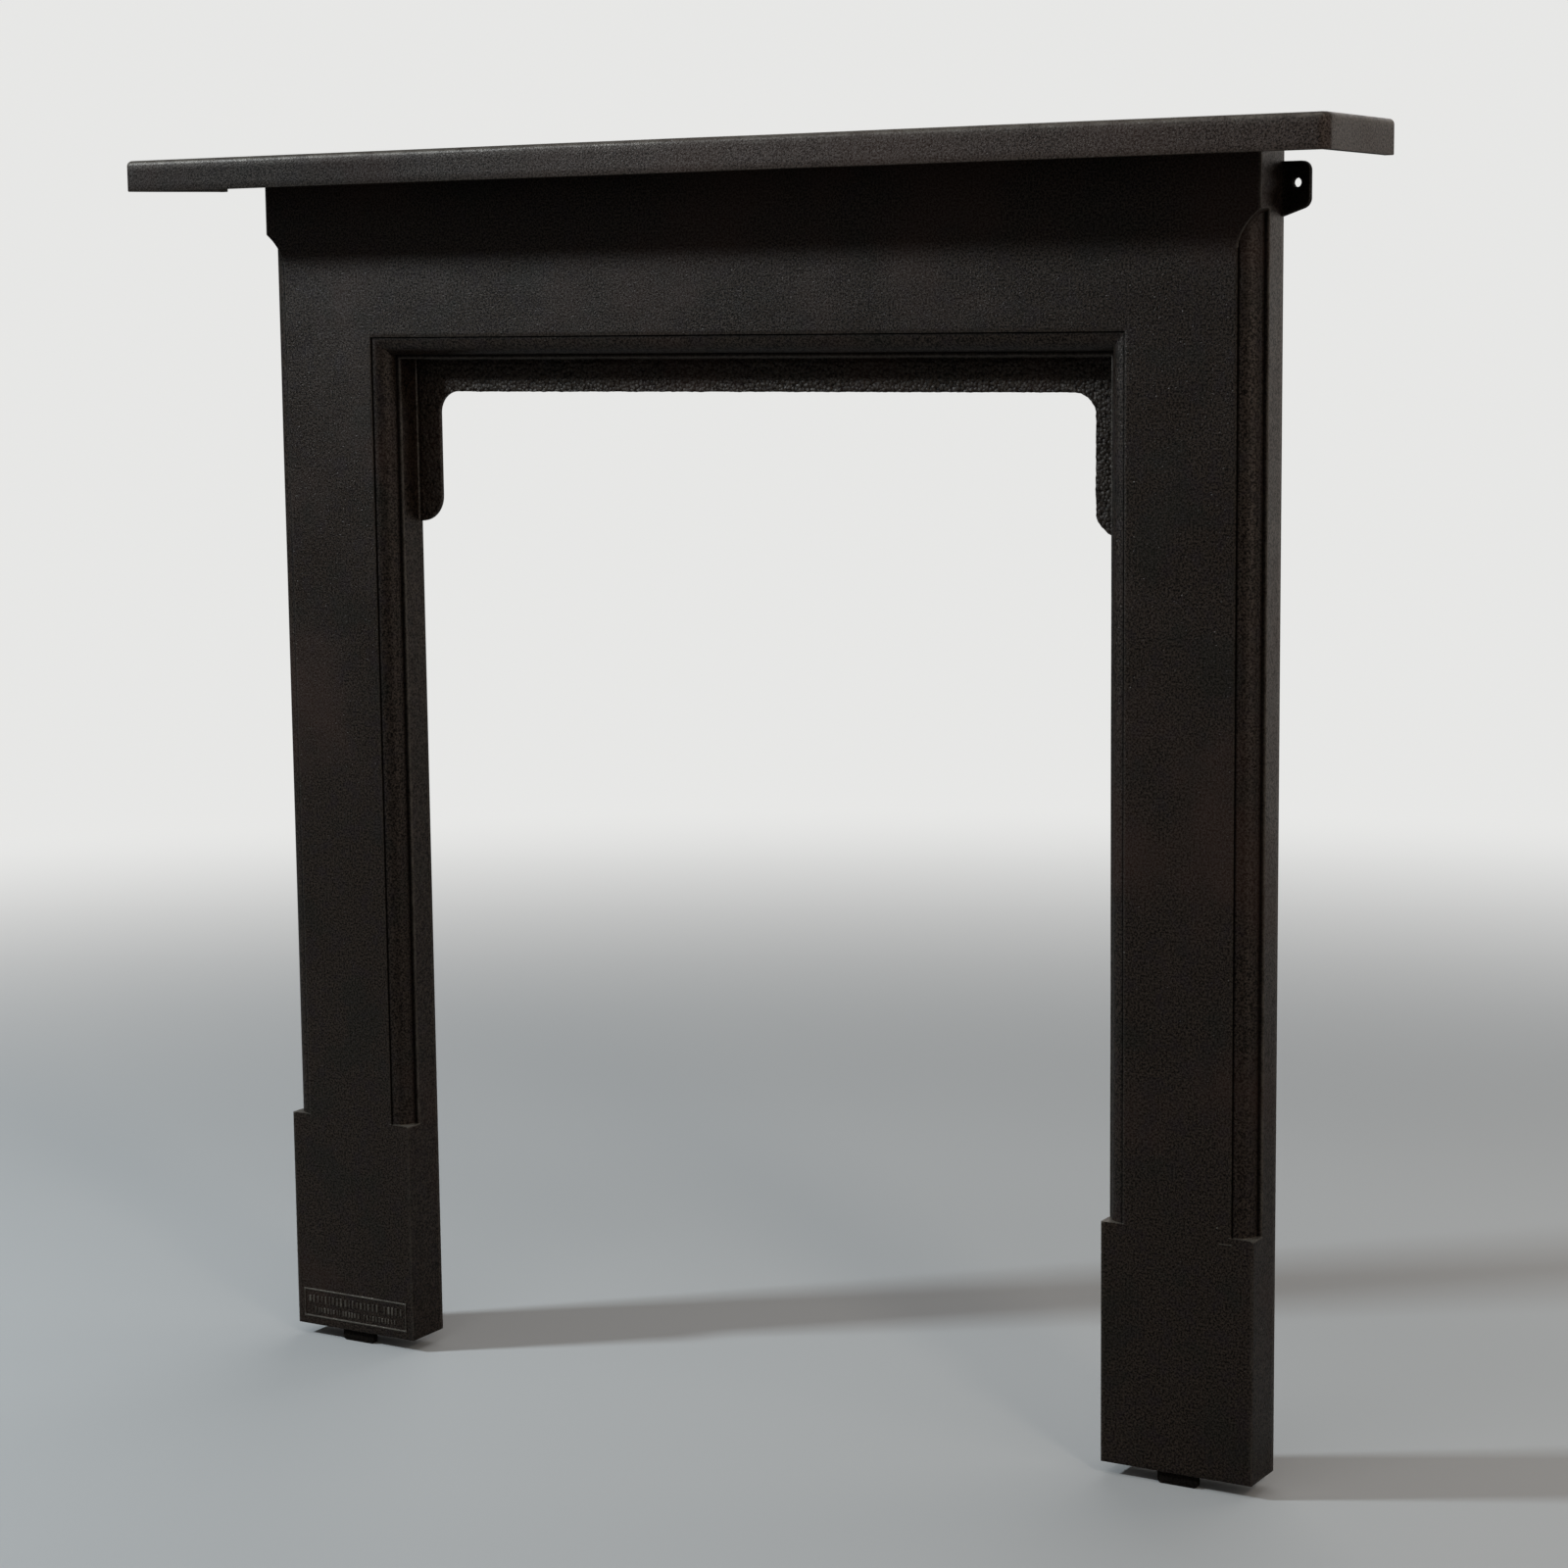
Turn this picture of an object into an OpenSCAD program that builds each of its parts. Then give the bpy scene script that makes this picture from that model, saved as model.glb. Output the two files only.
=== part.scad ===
// Cast-iron fireplace surround: a one-piece hollow-backed frame and a tray-shaped mantel shelf.
// Millimetres, +Z up, +X to the right of a person facing the fire, +Y into the wall.
// The origin lies on the wall plane, midway between the two wall screws.

/* [Frame] */
// Width of the opening between the two jambs
opening_w = 764; // [600:1:1000]
// Height of the opening's soffit above the hearth
soffit_z = 996; // [800:1:1150]
// Width of each jamb and of the plinth block below it
jamb_w = 146; // [110:1:200]
// Height of the head from the soffit to the underside of the shelf
head_h = 164; // [100:1:260]
// Depth of the frame from its front face to the wall
frame_d = 50; // [44:1:90]
// Thickness of the cast iron
wall = 7; // [5:0.5:8]

/* [Plinths and feet] */
// Height of the plinth blocks' tops above the hearth
plinth_z = 233; // [150:1:300]
// Height of the foot tabs, which is the gap under the plinths
foot_h = 12; // [6:1:25]
// Width of a foot tab
foot_w = 39; // [20:1:80]
// Thickness of a foot tab
foot_t = 7; // [5:1:12]
// Distance of a foot tab's face behind the front of the plinth
foot_back = 4; // [2:1:10]
// Radius of a foot tab's lower corners
foot_r = 4; // [2:0.5:5]

/* [Edge moulding] */
// Radius of the ovolo, the convex quarter-round
ovolo_r = 17; // [12:0.5:20]
// Depth of the small step where the ovolo starts
quirk_d = 1.5; // [1:0.5:3]
// Width of the flat fillet beside the arris
fillet_w = 4; // [2:0.5:6]
// Distance of the outer moulding's top below the shelf
stop_drop = 42; // [30:1:60]

/* [Rear flange] */
// Width of the flange round the head of the opening
flange_w = 32; // [20:1:45]
// Thickness of the flange
flange_t = 5; // [4:0.5:8]
// Radius of the flange's upper inner corners
flange_r = 21; // [5:1:30]
// Width of the flange's side ears
ear_w = 27; // [20:1:45]
// Height of the side ears' lower ends below the soffit
ear_h = 159; // [90:1:200]
// Radius of the ears' lower corners
ear_r = 25; // [10:1:27]

/* [Wall lugs] */
// Width of a lug beyond the side of the frame
lug_w = 25; // [22:1:40]
// Height of a lug
lug_h = 46; // [40:1:60]
// Thickness of a lug
lug_t = 6; // [4:0.5:8]
// Distance of a lug's top below the shelf
lug_drop = 2; // [1:1:20]
// Radius of a lug's upper corner
lug_r_top = 8; // [4:1:10]
// Radius of a lug's lower corner
lug_r_bottom = 9; // [6:0.5:14]
// How far a lug's lower edge rises from the frame to its corner
lug_rise = 6; // [0:1:12]
// Radius of the screw hole
screw_r = 4; // [3:0.25:5]
// Distance of the screw from the side of the frame
screw_x = 13.5; // [12:0.5:16]
// Distance of the screw below the lug's top
screw_drop = 18; // [14:1:22]

/* [Plate border] */
// Distance of the raised border from the left plinth's two side edges
border_side = 8; // [4:1:30]
// Height of the raised border
border_h = 30; // [20:1:50]
// Width of its strip
border_strip = 2; // [1:0.5:4]
// How far the strip stands out
border_relief = 1; // [0.5:0.5:2]
// Distance of the border above the plinth's underside
border_up = 8; // [4:1:30]

/* [Shelf] */
// How far the shelf reaches past each side of the frame
shelf_side = 97; // [40:1:160]
// How far the shelf reaches past the front of the frame
shelf_front = 96; // [50:1:160]
// Depth of the shelf's edge
shelf_h = 30; // [20:1:50]
// Thickness of the shelf's top plate
shelf_plate = 8; // [6:0.5:12]
// Thickness of the shelf's edge
shelf_skirt = 9; // [6:0.5:14]
// Radius of the shelf's front corners in plan
shelf_corner_r = 9; // [7:0.5:20]
// Radius of the rounded upper edge
shelf_edge_r = 5; // [2:0.5:6]

/* [Hidden] */
$fn = 96;
eps = 1;
opening_x = opening_w / 2;
frame_x = opening_x + jamb_w;
plinth_x = opening_x + jamb_w / 2;
shelf_z = soffit_z + head_h;
frame_top = shelf_z + shelf_h - shelf_plate;
mould_w = fillet_w + ovolo_r;
mould_d = quirk_d + ovolo_r;
stop_z = shelf_z - stop_drop;
backing_w = mould_w - ovolo_r + wall;
lug_top = shelf_z - lug_drop;
screw_z = lug_top - screw_drop;
shelf_x = frame_x + shelf_side;
shelf_y = -shelf_front;
border_l = jamb_w - 2 * border_side;
iron = "#2b2724";

// Puts the origin on the wall plane, midway between the wall screws.
module in_place() {
    translate([0, -frame_d, -screw_z]) children();
}

module both_sides() {
    children();
    mirror([1, 0, 0]) children();
}

// A shape drawn in front view, X across and Z up, made solid from depth y0 to depth y1.
module front_slab(y0, y1) {
    translate([0, y1, 0]) rotate([90, 0, 0]) linear_extrude(y1 - y0) children();
}

// A section drawn across the moulding, X away from the arris and Y deep, run up from z0 to z1.
module upright(arris_x, z0, z1) {
    translate([arris_x, 0, z0]) linear_extrude(z1 - z0) children();
}

// The same section run along the soffit out to x1 on each side.
module along_soffit(x1) {
    translate([-x1, 0, soffit_z]) rotate([90, 0, 90]) linear_extrude(2 * x1)
        mirror([1, -1]) children();
}

// What the moulding takes out of the front edge: a quirk, a convex ovolo and a flat fillet.
module mould_section() {
    difference() {
        translate([-eps, -eps]) square([mould_w + eps, mould_d + eps]);
        translate([mould_w, mould_d]) circle(ovolo_r);
    }
}

// The metal kept behind the moulding so that it is as thick as the rest of the casting.
module backing_section() {
    difference() {
        square([mould_w, mould_d + wall]);
        translate([mould_w, mould_d]) circle(ovolo_r - wall);
        translate([backing_w, mould_d]) square([mould_w, mould_d + wall]);
    }
}

// Front outline of the two jambs and the head, pulled in by inset all round.
module portal(inset) {
    difference() {
        translate([-frame_x + inset, foot_h + inset])
            square([2 * (frame_x - inset), frame_top - foot_h - 2 * inset]);
        translate([-opening_x - inset, foot_h + inset - eps])
            square([2 * (opening_x + inset), soffit_z - foot_h + eps]);
    }
}

module inner_mouldings() {
    both_sides() upright(opening_x, plinth_z, soffit_z) mould_section();
    along_soffit(opening_x) mould_section();
    intersection() {
        both_sides() upright(opening_x, soffit_z - eps, soffit_z + mould_w) mould_section();
        along_soffit(opening_x + mould_w) mould_section();
    }
}

// The outer moulding runs up the side and stops in a quarter circle.
module outer_moulding() {
    intersection() {
        upright(frame_x, plinth_z, stop_z) mirror([1, 0]) mould_section();
        front_slab(-2 * eps, mould_d + eps) union() {
            translate([frame_x - mould_w, plinth_z])
                square([mould_w + 2 * eps, stop_z - mould_w - plinth_z]);
            translate([frame_x, stop_z - mould_w]) circle(mould_w);
        }
    }
}

module backing() {
    both_sides() upright(opening_x, plinth_z - wall, soffit_z + mould_w) backing_section();
    along_soffit(opening_x + mould_w) backing_section();
    both_sides() upright(frame_x, plinth_z - wall, stop_z + wall) mirror([1, 0]) backing_section();
}

module hollow_back() {
    difference() {
        front_slab(wall + quirk_d, frame_d + eps) portal(wall);
        backing();
    }
}

// Flange at the back of the opening, with an ear down each jamb.
module rear_flange() {
    clear_x = opening_x - ear_w;
    clear_z = soffit_z - flange_w;
    ear_z = soffit_z - ear_h;
    front_slab(frame_d - flange_t, frame_d) difference() {
        translate([-opening_x - wall / 2, ear_z])
            square([2 * opening_x + wall, ear_h + wall / 2]);
        translate([-clear_x, ear_z - eps]) square([2 * clear_x, clear_z - flange_r - ear_z + eps]);
        translate([-clear_x + flange_r, ear_z]) square([2 * (clear_x - flange_r), clear_z - ear_z]);
        both_sides() translate([clear_x - flange_r, clear_z - flange_r]) circle(flange_r);
        both_sides() difference() {
            translate([clear_x - eps, ear_z - eps]) square([ear_r + eps, ear_r + eps]);
            translate([clear_x + ear_r, ear_z + ear_r]) circle(ear_r);
        }
    }
}

module foot() {
    front_slab(foot_back, foot_back + foot_t) {
        translate([plinth_x - foot_w / 2, foot_r]) square([foot_w, foot_h + wall / 2 - foot_r]);
        translate([plinth_x - foot_w / 2 + foot_r, 0]) square([foot_w - 2 * foot_r, foot_h]);
        for (side = [-1, 1])
            translate([plinth_x + side * (foot_w / 2 - foot_r), foot_r]) circle(foot_r);
    }
}

// Rounded at the top corner; below, the edge slants up from the frame into the lower corner's curve.
module lug_outline() {
    tip = frame_x + lug_w;
    low = lug_top - lug_h;
    run = lug_w - lug_r_bottom;
    rise = lug_rise + lug_r_bottom;
    slant = atan2(rise, run) - asin(lug_r_bottom / norm([run, rise]));
    reach = sqrt(run * run + rise * rise - lug_r_bottom * lug_r_bottom);
    translate([tip - lug_r_top, lug_top - lug_r_top]) circle(lug_r_top);
    translate([tip - lug_r_bottom, low + rise]) circle(lug_r_bottom);
    polygon([
        [frame_x - wall / 2, low], [frame_x, low],
        [frame_x + reach * cos(slant), low + reach * sin(slant)],
        [tip - lug_r_bottom, low + rise], [tip, low + rise],
        [tip, lug_top - lug_r_top], [tip - lug_r_top, lug_top - lug_r_top],
        [tip - lug_r_top, lug_top], [frame_x - wall / 2, lug_top]]);
}

module lug() {
    front_slab(frame_d - lug_t, frame_d) lug_outline();
}

module screw_hole() {
    translate([frame_x + screw_x, frame_d + eps, screw_z]) rotate([90, 0, 0])
        cylinder(h = lug_t + 2 * eps, r = screw_r);
}

// Raised rectangular border near the bottom of the left plinth.
module plate_border() {
    front_slab(-border_relief, wall / 2) translate([-plinth_x - border_l / 2, foot_h + border_up])
        difference() {
            square([border_l, border_h]);
            translate([border_strip, border_strip])
                square([border_l - 2 * border_strip, border_h - 2 * border_strip]);
        }
}

module frame() {
    color(iron) in_place() difference() {
        union() {
            difference() {
                front_slab(0, frame_d) portal(0);
                hollow_back();
                inner_mouldings();
                both_sides() outer_moulding();
            }
            rear_flange();
            both_sides() foot();
            both_sides() lug();
            plate_border();
        }
        both_sides() screw_hole();
    }
}

// Section of the shelf's edge, X outwards and Y up: square below, rounded above.
module shelf_edge_section() {
    difference() {
        square([shelf_corner_r, shelf_h]);
        translate([shelf_corner_r - shelf_edge_r, shelf_h - shelf_edge_r]) difference() {
            square([shelf_edge_r + eps, shelf_edge_r + eps]);
            circle(shelf_edge_r);
        }
    }
}

module shelf_block() {
    run_x = shelf_x - shelf_corner_r;
    run_y = frame_d - shelf_y - shelf_corner_r;
    translate([-run_x, shelf_y + shelf_corner_r, 0]) cube([2 * run_x, run_y, shelf_h]);
    translate([run_x, shelf_y + shelf_corner_r, 0]) rotate([90, 0, -90])
        linear_extrude(2 * run_x) shelf_edge_section();
    both_sides() {
        translate([run_x, frame_d, 0]) rotate([90, 0, 0]) linear_extrude(run_y) shelf_edge_section();
        translate([run_x, shelf_y + shelf_corner_r, 0]) rotate([0, 0, -90])
            rotate_extrude(angle = 90) shelf_edge_section();
    }
}

// Tray-shaped casting: a plate with an edge turned down at the front and both ends, open at the wall.
module shelf() {
    color(iron) in_place() translate([0, 0, shelf_z]) difference() {
        shelf_block();
        translate([-shelf_x + shelf_skirt, shelf_y + shelf_skirt, -eps])
            cube([2 * (shelf_x - shelf_skirt), frame_d - shelf_y, shelf_h - shelf_plate + eps]);
    }
}

frame();
shelf();
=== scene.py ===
"""Cast-iron fireplace surround: its finished castings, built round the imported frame.

Metres, +Z up, +X to the right of a person facing the fire, +Y into the wall, and the wall plane is Y = 0.
Sizes below are in millimetres. A point of a casting is first given as x, height above the hearth and depth
behind the front face, and placed() turns that into the frame's metres.
"""
import math

import bmesh
import bpy
import numpy as np
from mathutils import Matrix, Vector


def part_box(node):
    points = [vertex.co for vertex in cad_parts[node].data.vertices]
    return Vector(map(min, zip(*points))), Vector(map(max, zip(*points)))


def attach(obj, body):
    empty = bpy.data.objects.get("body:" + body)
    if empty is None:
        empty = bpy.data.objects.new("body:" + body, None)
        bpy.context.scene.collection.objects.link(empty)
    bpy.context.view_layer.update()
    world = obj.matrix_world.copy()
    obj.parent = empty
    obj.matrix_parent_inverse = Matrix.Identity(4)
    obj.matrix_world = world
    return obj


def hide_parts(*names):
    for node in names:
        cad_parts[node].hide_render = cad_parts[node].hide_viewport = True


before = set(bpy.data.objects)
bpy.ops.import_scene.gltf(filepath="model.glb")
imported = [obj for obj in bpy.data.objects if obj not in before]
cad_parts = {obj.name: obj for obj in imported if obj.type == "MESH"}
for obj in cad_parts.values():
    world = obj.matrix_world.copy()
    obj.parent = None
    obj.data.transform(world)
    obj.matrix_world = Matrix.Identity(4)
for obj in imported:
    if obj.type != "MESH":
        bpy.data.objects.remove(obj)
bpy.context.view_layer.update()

MM = 0.001
frame_low, frame_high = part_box("frame")
shelf_low, shelf_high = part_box("shelf")
HEARTH_Z = frame_low.z
WALL_Y = frame_high.y

# Frame, as the construction has it
OPENING_X = 382.0
SOFFIT = 996.0
JAMB_W = 146.0
DEPTH = 50.0
WALL = 7.0
FRAME_X = OPENING_X + JAMB_W
FRAME_TOP = (frame_high.z - HEARTH_Z) / MM
HEAD_W = FRAME_TOP - SOFFIT
PLINTH_TOP = 233.0
PLINTH_X = OPENING_X + JAMB_W / 2
FOOT_H = 12.0
FOOT_W = 39.0
FOOT_T = 7.0
FOOT_BACK = 4.0
FOOT_R = 4.0

# Edge moulding: fillet beside the arris, quarter-round ovolo, and the quirk up to the front face, with a
# narrow groove at the quirk's foot; near the fillet the ovolo is darkened, with dirt and with painted shade,
# over the reach given below
FILLET_W = 4.0
OVOLO_R = 17.0
QUIRK_D = 1.5
GROOVE_W = 0.4
GROOVE_D = 1.6
DIRT_AND_SHADE_REACH = 3.5
MOULD_W = FILLET_W + OVOLO_R
MOULD_D = QUIRK_D + OVOLO_R
STOP_TOP = 1118.0
STOP_CENTRE = STOP_TOP - MOULD_W
ARRIS_R = 0.9

# Rough flange at the back of the opening, with an ear down each jamb
FLANGE_W = 32.0
EAR_W = 27.0
FLANGE_T = 5.0
FLANGE_R = 21.0
EAR_LOW = SOFFIT - 159.0
EAR_R = 25.0
ROOT_R = 2.0

# Screw lugs
LUG_W = 25.0
LUG_H = 46.0
LUG_T = 6.0
LUG_TOP = 1158.0
LUG_R_TOP = 8.0
LUG_R_LOW = 9.0
LUG_RISE = 6.0
SCREW_R = 4.0
SCREW_X = 13.5
SCREW_Z = -HEARTH_Z / MM

# Raised border on the left plinth
BORDER_W = 130.0
BORDER_H = 30.0
BORDER_LOW = 20.0
BORDER_STRIP = 2.0
BORDER_RELIEF = 0.9

# Shelf, with how many points its rim has along the front, along each end and round each corner
SHELF_X = shelf_high.x / MM
SHELF_FRONT = DEPTH + shelf_low.y / MM
SHELF_UNDER = (shelf_low.z - HEARTH_Z) / MM
SHELF_TOP = (shelf_high.z - HEARTH_Z) / MM
SHELF_PLATE = 8.0
SHELF_SKIRT = 9.0
SHELF_EDGE_R = 5.0
SHELF_ALONG = 186
SHELF_ACROSS = 22
SHELF_CORNER = 9


def placed(x, z, d):
    """x, height and depth in millimetres as frame points in metres."""
    return np.stack([x * MM, WALL_Y + (d - DEPTH) * MM, HEARTH_Z + z * MM], axis=-1)


def smooth(edge0, edge1, x):
    """Smoothstep from 0 at edge0 to 1 at edge1."""
    t = np.clip((x - edge0) / (edge1 - edge0), 0.0, 1.0)
    return t * t * (3 - 2 * t)


# ---------------------------------------------------------------- surfaces to meshes

WELD_M = 2e-6


def grid_faces(rows, columns, closed_rows=False, closed_columns=False, start=0):
    """Quads of a grid of points, each joined to its neighbour along both parameters."""
    i = np.arange(rows if closed_rows else rows - 1)
    j = np.arange(columns if closed_columns else columns - 1)
    i, j = np.meshgrid(i, j, indexing="ij")
    i2, j2 = (i + 1) % rows, (j + 1) % columns
    quads = np.stack([i * columns + j, i * columns + j2, i2 * columns + j2, i2 * columns + j], axis=-1)
    return quads.reshape(-1, 4) + start


def welded(points, quads, caps, masks):
    """Points on the same step of a WELD_M grid become one, which keeps the first one's place and masks.

    Quads that lose a side become triangles, and flat ones go. Each cap is a closed ring that makes one face.
    """
    key = np.round(points / WELD_M).astype(np.int64)
    _, first, index = np.unique(key, axis=0, return_index=True, return_inverse=True)
    index = index.reshape(-1)
    q = index[quads]
    same = q == np.roll(q, -1, axis=1)
    count = same.sum(axis=1)
    crossed = (q[:, 0] == q[:, 2]) | (q[:, 1] == q[:, 3])
    faces = q[(count == 0) & ~crossed].tolist()
    three = q[(count == 1) & ~crossed]
    drop = same[(count == 1) & ~crossed].argmax(axis=1)
    keep = np.stack([(drop + k) % 4 for k in (1, 2, 3)], axis=1)
    faces += np.take_along_axis(three, keep, axis=1).tolist()
    for cap in caps:
        ring = index[cap]
        faces.append(ring[ring != np.roll(ring, 1)].tolist())
    return points[first], faces, {name: mask[first] for name, mask in masks.items()}


def new_piece(name, points, faces, masks):
    """A mesh object at the origin with its faces turned outwards and each mask as a point attribute."""
    mesh = bpy.data.meshes.new(name)
    mesh.from_pydata(points.tolist(), [], faces)
    for label, mask in masks.items():
        mesh.attributes.new(label, "FLOAT", "POINT").data.foreach_set("value", mask.astype(np.float32))
    shell = bmesh.new()
    shell.from_mesh(mesh)
    bmesh.ops.recalc_face_normals(shell, faces=shell.faces[:])
    shell.to_mesh(mesh)
    shell.free()
    mesh.update()
    piece = bpy.data.objects.new(name, mesh)
    bpy.context.scene.collection.objects.link(piece)
    return piece


# ---------------------------------------------------------------- uneven metal

# Heights and cell sizes in metres; a pattern repeats after LATTICE cells
LATTICE = 32
WAVE_HEIGHT, WAVE_CELL, WAVE_SEED = 0.00020, 0.12, 5
PEBBLE_HEIGHT, PEBBLE_CELL, PEBBLE_SEED = 0.0014, 0.0046, 11
LUMP_HEIGHT, LUMP_CELL, LUMP_SEED = 0.0007, 0.011, 12
WALL_FADE, HEARTH_FADE = 0.003, 0.002


def lattice_noise(points, cell, seed):
    """Smooth value noise from -1 to 1: random values on a cubic lattice, eased between its corners."""
    values = np.random.default_rng(seed).uniform(-1, 1, (LATTICE, LATTICE, LATTICE))
    p = points / cell
    base = np.floor(p).astype(np.int64)
    t = p - base
    t = t * t * (3 - 2 * t)
    total = np.zeros(len(points))
    for corner in range(8):
        bit = np.array([corner & 1, corner >> 1 & 1, corner >> 2 & 1])
        weight = np.prod(np.where(bit, t, 1 - t), axis=1)
        at = (base + bit) % LATTICE
        total += weight * values[at[:, 0], at[:, 1], at[:, 2]]
    return total


def pebbles(points, cell, seed):
    """Rounded lumps from 0 to 1: a jittered centre in each cell of a lattice, and a dome over the nearest."""
    jitter = np.random.default_rng(seed).uniform(0.1, 0.9, (LATTICE, LATTICE, LATTICE, 3))
    p = points / cell
    base = np.floor(p).astype(np.int64)
    nearest = np.full(len(points), np.inf)
    for step in np.ndindex(3, 3, 3):
        at = base + np.array(step) - 1
        wrapped = at % LATTICE
        centre = at + jitter[wrapped[:, 0], wrapped[:, 1], wrapped[:, 2]]
        nearest = np.minimum(nearest, np.linalg.norm(p - centre, axis=1))
    return np.clip(1 - nearest * nearest * 1.5, 0, 1)


def read_points(mesh, field="co"):
    """All the mesh's points, or their normals, as one array."""
    flat = np.empty(len(mesh.vertices) * 3, np.float32)
    mesh.vertices.foreach_get(field, flat)
    return flat.reshape(-1, 3).astype(float)


def moved_along_normals(piece, height):
    """Each point moves along its own normal by height, in metres, except on the wall plane and the hearth."""
    mesh = piece.data
    points, normals = read_points(mesh), read_points(mesh, "normal")
    free = smooth(0.0, WALL_FADE, WALL_Y - points[:, 1]) * smooth(0.0, HEARTH_FADE, points[:, 2] - HEARTH_Z)
    points += normals * (height * free)[:, None]
    mesh.vertices.foreach_set("co", points.astype(np.float32).ravel())
    mesh.update()


def uneven(points):
    """Slow waves left by the sand mould, about a fifth of a millimetre high."""
    return WAVE_HEIGHT * lattice_noise(points, WAVE_CELL, WAVE_SEED)


# ---------------------------------------------------------------- the frame

def moulding_profile(steps):
    """From the arris to the front face: distance from the arris, depth, rubbed edge, dirt with painted shade,
    and a least distance.

    Rounded arris, flat fillet, quarter circle about (MOULD_W, MOULD_D), groove, quirk, rounded front edge.
    The least distance keeps the front edge rounded where the moulding is cut off and the corner is square.
    """
    arc = np.radians(np.linspace(180, 93, steps))
    arris = ARRIS_R * (1 - np.cos(np.radians([0, 45, 90])))
    away = np.concatenate([arris, [FILLET_W / 2], MOULD_W + OVOLO_R * np.cos(arc),
                           [MOULD_W - GROOVE_W, MOULD_W], MOULD_W + arris[1:]])
    deep = np.concatenate([MOULD_D + arris[::-1], [MOULD_D], MOULD_D - OVOLO_R * np.sin(arc),
                           [QUIRK_D + GROOVE_D], arris[::-1]])
    wear_and_highlight = np.concatenate([[0.8, 1, 0.8, 0.1], np.zeros(steps + 1), [0, 0.25, 0.15]])
    along = OVOLO_R * (np.pi - arc)
    # Painted shade with some dirt: darkest where the ovolo meets the fillet and fading up the ovolo, dark at
    # the ovolo's top, in the groove and in the quirk
    corners = np.clip(1 - along / DIRT_AND_SHADE_REACH, 0, 1) + 0.8 * (along == along[-1])
    grime_and_shade = np.concatenate([[0, 0, 0, 0.5], corners, [1, 1, 0.1, 0]])
    square = np.zeros_like(away)
    square[-2:] = arris[1:]
    return away, deep, wear_and_highlight, grime_and_shade, square


def hollow_profile():
    """The hollow behind the moulding, from the rim to its front wall: distance from the edge and depth."""
    backing = FILLET_W + WALL
    arc = np.radians(np.linspace(180, 90, 5))
    radius = OVOLO_R - WALL
    away = np.concatenate([[WALL, WALL, backing], MOULD_W + radius * np.cos(arc)])
    deep = np.concatenate([[DEPTH, MOULD_D + WALL, MOULD_D + WALL], MOULD_D - radius * np.sin(arc)])
    return away, deep


def jamb_stations():
    """Heights up the jamb, with a doubled station where the section changes at a level face.

    Each has: height, moulding shown (0 or 1), hollow open (0 or 1), reach of the ear at that height.
    """
    rounding = FOOT_H + ARRIS_R * (1 - np.cos(np.radians([0, 45, 90])))
    floor_z = FOOT_H + WALL
    low = np.concatenate([rounding, [floor_z]])
    plinth = np.append(np.linspace(floor_z, PLINTH_TOP - 1.6, 27), PLINTH_TOP)
    shaft = np.insert(np.linspace(PLINTH_TOP, EAR_LOW, 76), 1, PLINTH_TOP + 0.8)
    curve = EAR_LOW + EAR_R * (1 - np.cos(np.radians(np.linspace(0, 90, 15))))
    ear = np.linspace(EAR_LOW + EAR_R, SOFFIT - FLANGE_W - FLANGE_R, 33)[1:]
    bend = np.linspace(SOFFIT - FLANGE_W - FLANGE_R, SOFFIT, 21)[1:]
    reach = EAR_W - EAR_R + np.sqrt(np.maximum(EAR_R ** 2 - (EAR_LOW + EAR_R - curve) ** 2, 0))
    z = np.concatenate([low, plinth, shaft, curve, ear, bend])
    steps = np.cumsum([0, len(low), len(plinth), len(shaft), len(curve), len(ear), len(bend)])
    shown = (np.arange(len(z)) >= steps[2]).astype(float)
    opened = (np.arange(len(z)) >= steps[1]).astype(float)
    ear_reach = np.zeros(len(z))
    ear_reach[steps[3]:steps[4]] = reach
    ear_reach[steps[4]:] = EAR_W
    return z, shown, opened, ear_reach


def frame_stations():
    """Stations of one half of the frame: up the jamb, round the corner, and along the head to the middle.

    u scales x, base is the height of the inner arris, and turn goes from 0 on the jamb to 1 on the head. The
    corner has a station at each step of the outer moulding's stop, and plain ones where none is near.
    """
    z, shown, opened, ear_reach = jamb_stations()
    jamb, full = len(z), HEAD_W
    stop = (STOP_CENTRE + (MOULD_W + ARRIS_R) * np.sin(np.radians(np.linspace(0, 90, 31))) - SOFFIT) / full
    plain = np.linspace(0, 1, 14)[1:]
    near = 0.02
    plain = plain[np.abs(plain[:, None] - stop).min(axis=1) > near]
    turn = np.sort(np.concatenate([plain, stop[stop > 0], stop[-1:] + [0.012, 0.03]]))
    corner = len(turn)
    bend = np.linspace(OPENING_X, OPENING_X - EAR_W - FLANGE_R, 21)[1:]
    along = np.concatenate([bend, np.linspace(bend[-1], 0, 151)[1:]]) / OPENING_X
    head = len(along)
    u = np.concatenate([np.ones(jamb + corner), along])
    base = np.concatenate([z, np.full(corner + head, SOFFIT)])
    turn = np.concatenate([np.zeros(jamb), turn, np.ones(head)])
    shown = np.concatenate([shown, np.ones(corner + head)])
    opened = np.concatenate([opened, np.ones(corner + head)])
    reach = np.concatenate([ear_reach, np.full(corner + head, EAR_W)])
    return u[:, None], base[:, None], turn[:, None], shown[:, None], opened[:, None], reach[:, None]


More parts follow.
